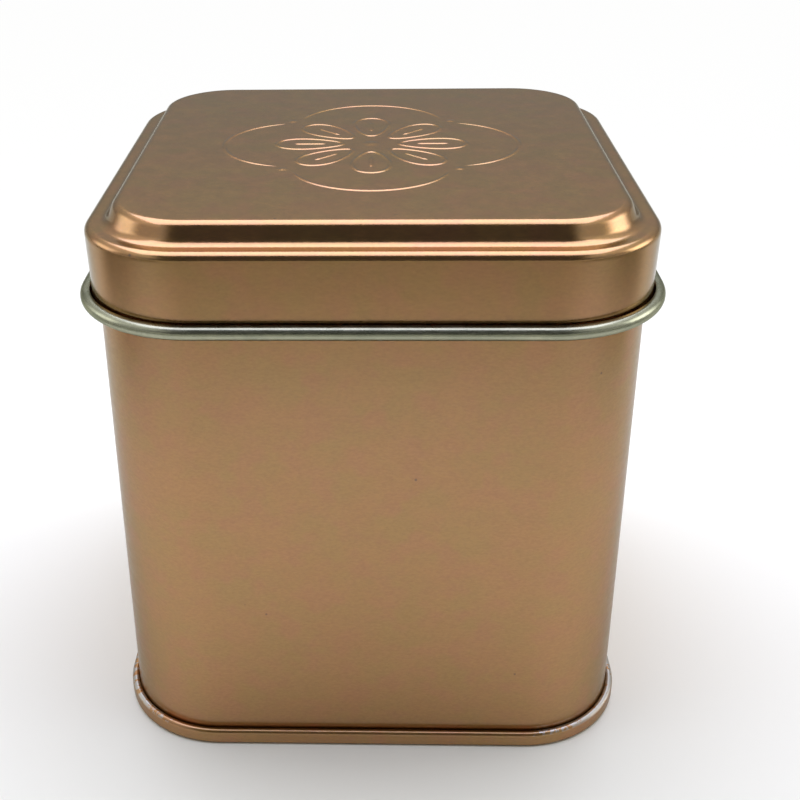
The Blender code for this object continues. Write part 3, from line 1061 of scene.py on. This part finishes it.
def floor_material(scene):
    """Pale matt floor that fades to plain white away from the tin."""
    material = bpy.data.materials.new("floor_paint")
    material.use_nodes = True
    tree = material.node_tree
    shader = tree.nodes["Principled BSDF"]
    shader.inputs["Base Color"].default_value = scene.tin_colours.floor
    shader.inputs["Roughness"].default_value = FLOOR_ROUGHNESS
    shader.inputs["Specular IOR Level"].default_value = 0.0
    white = tree.nodes.new("ShaderNodeEmission")
    mix = tree.nodes.new("ShaderNodeMixShader")
    link(tree, floor_white_share(tree, scene.tin_studio.floor_glow), mix.inputs[0])
    link(tree, shader.outputs[0], mix.inputs[1])
    link(tree, white.outputs[0], mix.inputs[2])
    link(tree, mix.outputs[0], tree.nodes["Material Output"].inputs["Surface"])
    return material


def floor_white_share(tree, glow):
    """How much plain white shows at a place on the floor. It grows away from the tin, in full for
    the camera, and in part for what the metal reflects of the floor behind the tin."""
    path = tree.nodes.new("ShaderNodeLightPath")
    coordinates = tree.nodes.new("ShaderNodeTexCoord").outputs["Object"]
    away = tree.nodes.new("ShaderNodeVectorMath")
    away.operation = "LENGTH"
    link(tree, coordinates, away.inputs[0])
    place_on = tree.nodes.new("ShaderNodeSeparateXYZ")
    link(tree, coordinates, place_on.inputs["Vector"])
    far = add_range(tree, away.outputs["Value"], FLOOR_WHITE_START, FLOOR_WHITE_END, 0.0, glow)
    behind = add_range(tree, place_on.outputs["Y"], 0.0, FLOOR_WHITE_END, 0.0, FLOOR_MIRROR_SHARE)
    through = path.outputs["Is Transmission Ray"]
    mirrored = add_math(tree, "MAXIMUM", path.outputs["Is Glossy Ray"], through)
    mirrored = add_math(tree, "MULTIPLY", mirrored, behind)
    seen = add_math(tree, "MAXIMUM", path.outputs["Is Camera Ray"], mirrored)
    return add_math(tree, "MULTIPLY", seen, far)


def add_room(scene):
    """The room: a grey band at the horizon, dim behind the camera, with a window at each side. The
    camera itself sees only the plain backdrop."""
    studio = scene.tin_studio
    world = bpy.data.worlds.new("room")
    scene.world = world
    world.use_nodes = True
    tree = world.node_tree
    background = tree.nodes["Background"]
    direction = tree.nodes.new("ShaderNodeSeparateXYZ")
    coordinates = tree.nodes.new("ShaderNodeTexCoord").outputs["Generated"]
    link(tree, coordinates, direction.inputs["Vector"])
    side, depth, level = direction.outputs
    dim = room_front(tree, side, depth)
    walls = room_walls(tree, studio, dim, level)
    windows = room_windows(tree, studio, side, depth, level)
    high = add_math(tree, "ADD", walls, windows)
    reflected = room_with_horizon(tree, studio, high, dim, level)
    seen = tree.nodes.new("ShaderNodeLightPath").outputs["Is Camera Ray"]
    unseen = add_math(tree, "SUBTRACT", 1.0, seen)
    plain = add_math(tree, "MULTIPLY", seen, studio.backdrop)
    strength = add_math(tree, "ADD", add_math(tree, "MULTIPLY", reflected, unseen), plain)
    link(tree, strength, background.inputs["Strength"])
    background.inputs["Color"].default_value = WHITE


def room_front(tree, side, depth):
    """How far a direction points at the dim part of the room, behind the camera."""
    ahead = add_range(tree, depth, *FRONT_FADE, 1.0, 0.0)
    middle = add_range(tree, add_math(tree, "ABSOLUTE", side, 0.0), *FRONT_WIDTH, 1.0, 0.0)
    return add_math(tree, "MULTIPLY", ahead, middle)


def room_walls(tree, studio, dim, level):
    """Brightness of the walls and the ceiling, and of the dim part where it lies."""
    lowest = studio.back_room * ROOM_WALL_LOW_SHARE
    wall = add_range(tree, level, *ROOM_WALL_FADE, lowest, studio.back_room)
    ceiling = add_range(tree, level, *CEILING_FADE, *CEILING_SHARES)
    behind = add_math(tree, "MULTIPLY", wall, ceiling)
    lit = add_math(tree, "MULTIPLY", add_math(tree, "SUBTRACT", 1.0, dim), behind)
    return add_math(tree, "ADD", lit, add_math(tree, "MULTIPLY", dim, studio.front_room))


def room_windows(tree, studio, side, depth, level):
    """Extra brightness of the windows, low at the left and at the right."""
    from_middle = add_math(tree, "SUBTRACT", depth, WINDOW_MIDDLE)
    off_centre = add_math(tree, "ABSOLUTE", from_middle, 0.0)
    near_side = add_range(tree, off_centre, *WINDOW_DEPTH_FADE, 1.0, 0.0)
    low_side = add_range(tree, level, *WINDOW_TOP_FADE, 1.0, 0.0)
    glow = add_range(tree, side, *WINDOW_SIDE_FADE, studio.left_window, studio.right_window)
    return add_math(tree, "MULTIPLY", add_math(tree, "MULTIPLY", near_side, low_side), glow)


def room_with_horizon(tree, studio, high, dim, level):
    """The room above the horizon, blended into the band at the horizon itself."""
    raised = add_range(tree, level, *HORIZON_FADE, 0.0, 1.0)
    dimmest = studio.horizon * HORIZON_DIM_SHARE
    band = add_range(tree, dim, 0.0, 1.0, studio.horizon, dimmest)
    low = add_math(tree, "MULTIPLY", add_math(tree, "SUBTRACT", 1.0, raised), band)
    return add_math(tree, "ADD", add_math(tree, "MULTIPLY", high, raised), low)


def add_key(scene):
    """The broad lamp over the tin, a little behind it and facing down."""
    lamp = bpy.data.lights.new("key", "AREA")
    lamp.shape = "RECTANGLE"
    lamp.size = KEY_WIDTH
    lamp.size_y = KEY_DEPTH
    lamp.color = KEY_COLOUR
    lamp.energy = scene.tin_studio.key_power
    key = bpy.data.objects.new("key", lamp)
    key.location = (0.0, KEY_BACK, KEY_LEVEL)
    scene.collection.objects.link(key)


def add_cards(scene):
    """Grey cards that the camera does not see; they shade the floor in front and at the sides."""
    paint = bpy.data.materials.new("card_paint")
    paint.use_nodes = True
    shader = paint.node_tree.nodes["Principled BSDF"]
    shader.inputs["Base Color"].default_value = CARD_GREY
    shader.inputs["Roughness"].default_value = 1.0
    shader.inputs["Specular IOR Level"].default_value = 0.0
    inner, outer = SIDE_CARD_INNER, SIDE_CARD_OUTER
    side = (CARD_FRONT, SIDE_CARD_BACK)
    add_card(scene, "front_card", paint, (-inner, inner), (CARD_FRONT, CARD_BACK), CARD_LEVEL)
    add_card(scene, "left_card", paint, (-outer, -inner), side, SIDE_CARD_LEVEL)
    add_card(scene, "right_card", paint, (inner, outer), side, SIDE_CARD_LEVEL)


def add_card(scene, name, paint, across, along, level):
    """One flat card between two places across and two along."""
    bm = bmesh.new()
    bmesh.ops.create_grid(bm, x_segments=1, y_segments=1, size=1.0)
    reach = Vector(((across[1] - across[0]) / 2, (along[1] - along[0]) / 2, 1.0))
    middle = Vector((sum(across) / 2, sum(along) / 2, level))
    bmesh.ops.scale(bm, vec=reach, verts=bm.verts)
    bmesh.ops.translate(bm, vec=middle, verts=bm.verts)
    mesh = bpy.data.meshes.new(name)
    bm.to_mesh(mesh)
    bm.free()
    mesh.materials.append(paint)
    card = bpy.data.objects.new(name, mesh)
    card.visible_camera = False
    scene.collection.objects.link(card)


def add_camera(scene):
    """The camera, a little above the lid and looking down at the tin's front."""
    data = bpy.data.cameras.new("camera")
    data.sensor_width = SENSOR_WIDTH
    data.lens = FOCAL_PIXELS / IMAGE_SIZE * SENSOR_WIDTH
    data.shift_x = (IMAGE_SIZE / 2 - CENTRE_X) / IMAGE_SIZE
    data.shift_y = (CENTRE_Y - IMAGE_SIZE / 2) / IMAGE_SIZE
    data.clip_start = CLIP_START
    camera = bpy.data.objects.new("camera", data)
    scene.collection.objects.link(camera)
    camera.matrix_world = camera_matrix()
    scene.camera = camera


def camera_matrix():
    """The camera's turn and place."""
    sine, cosine = math.sin(CAMERA_YAW), math.cos(CAMERA_YAW)
    flat = math.cos(CAMERA_PITCH)
    ahead = Vector((sine * flat, cosine * flat, -math.sin(CAMERA_PITCH)))
    right = Vector((cosine, -sine, 0.0))
    up = right.cross(ahead)
    roll_sine, roll_cosine = math.sin(CAMERA_ROLL), math.cos(CAMERA_ROLL)
    across = right * roll_cosine + up * roll_sine
    upward = up * roll_cosine - right * roll_sine
    matrix = Matrix((across, upward, -ahead)).transposed().to_4x4()
    matrix.translation = CAMERA_PLACE
    return matrix


class TIN_PT_panel(bpy.types.Panel):
    """The tin's pieces, sizes and colours"""

    bl_idname = "TIN_PT_panel"
    bl_label = "Square tin"
    bl_space_type = "VIEW_3D"
    bl_region_type = "UI"
    bl_category = "Tin"

    def draw(self, context):
        layout = self.layout
        for operator in STEPS:
            layout.operator(operator.bl_idname)
        for group in (context.scene.tin_sizes, context.scene.tin_colours, context.scene.tin_studio):
            box = layout.box()
            for name in group.__annotations__:
                box.prop(group, name)


STEPS = (TIN_OT_body_wall, TIN_OT_base_plate, TIN_OT_lid, TIN_OT_ornament, TIN_OT_studio)
CLASSES = (TinSizes, TinColours, TinStudio, *STEPS, TIN_PT_panel)


def register():
    """Register the classes and hang the settings on the scene."""
    for cls in CLASSES:
        bpy.utils.register_class(cls)
    bpy.types.Scene.tin_sizes = PointerProperty(type=TinSizes)
    bpy.types.Scene.tin_colours = PointerProperty(type=TinColours)
    bpy.types.Scene.tin_studio = PointerProperty(type=TinStudio)


def unregister():
    """Take the settings off the scene and unregister the classes."""
    del bpy.types.Scene.tin_studio
    del bpy.types.Scene.tin_colours
    del bpy.types.Scene.tin_sizes
    for cls in reversed(CLASSES):
        bpy.utils.unregister_class(cls)


def main():
    """Make the tin and its studio."""
    register()
    bpy.ops.tin.body_wall()
    bpy.ops.tin.base_plate()
    bpy.ops.tin.lid()
    bpy.ops.tin.ornament()
    bpy.ops.tin.studio()


if __name__ == "__main__":
    main()
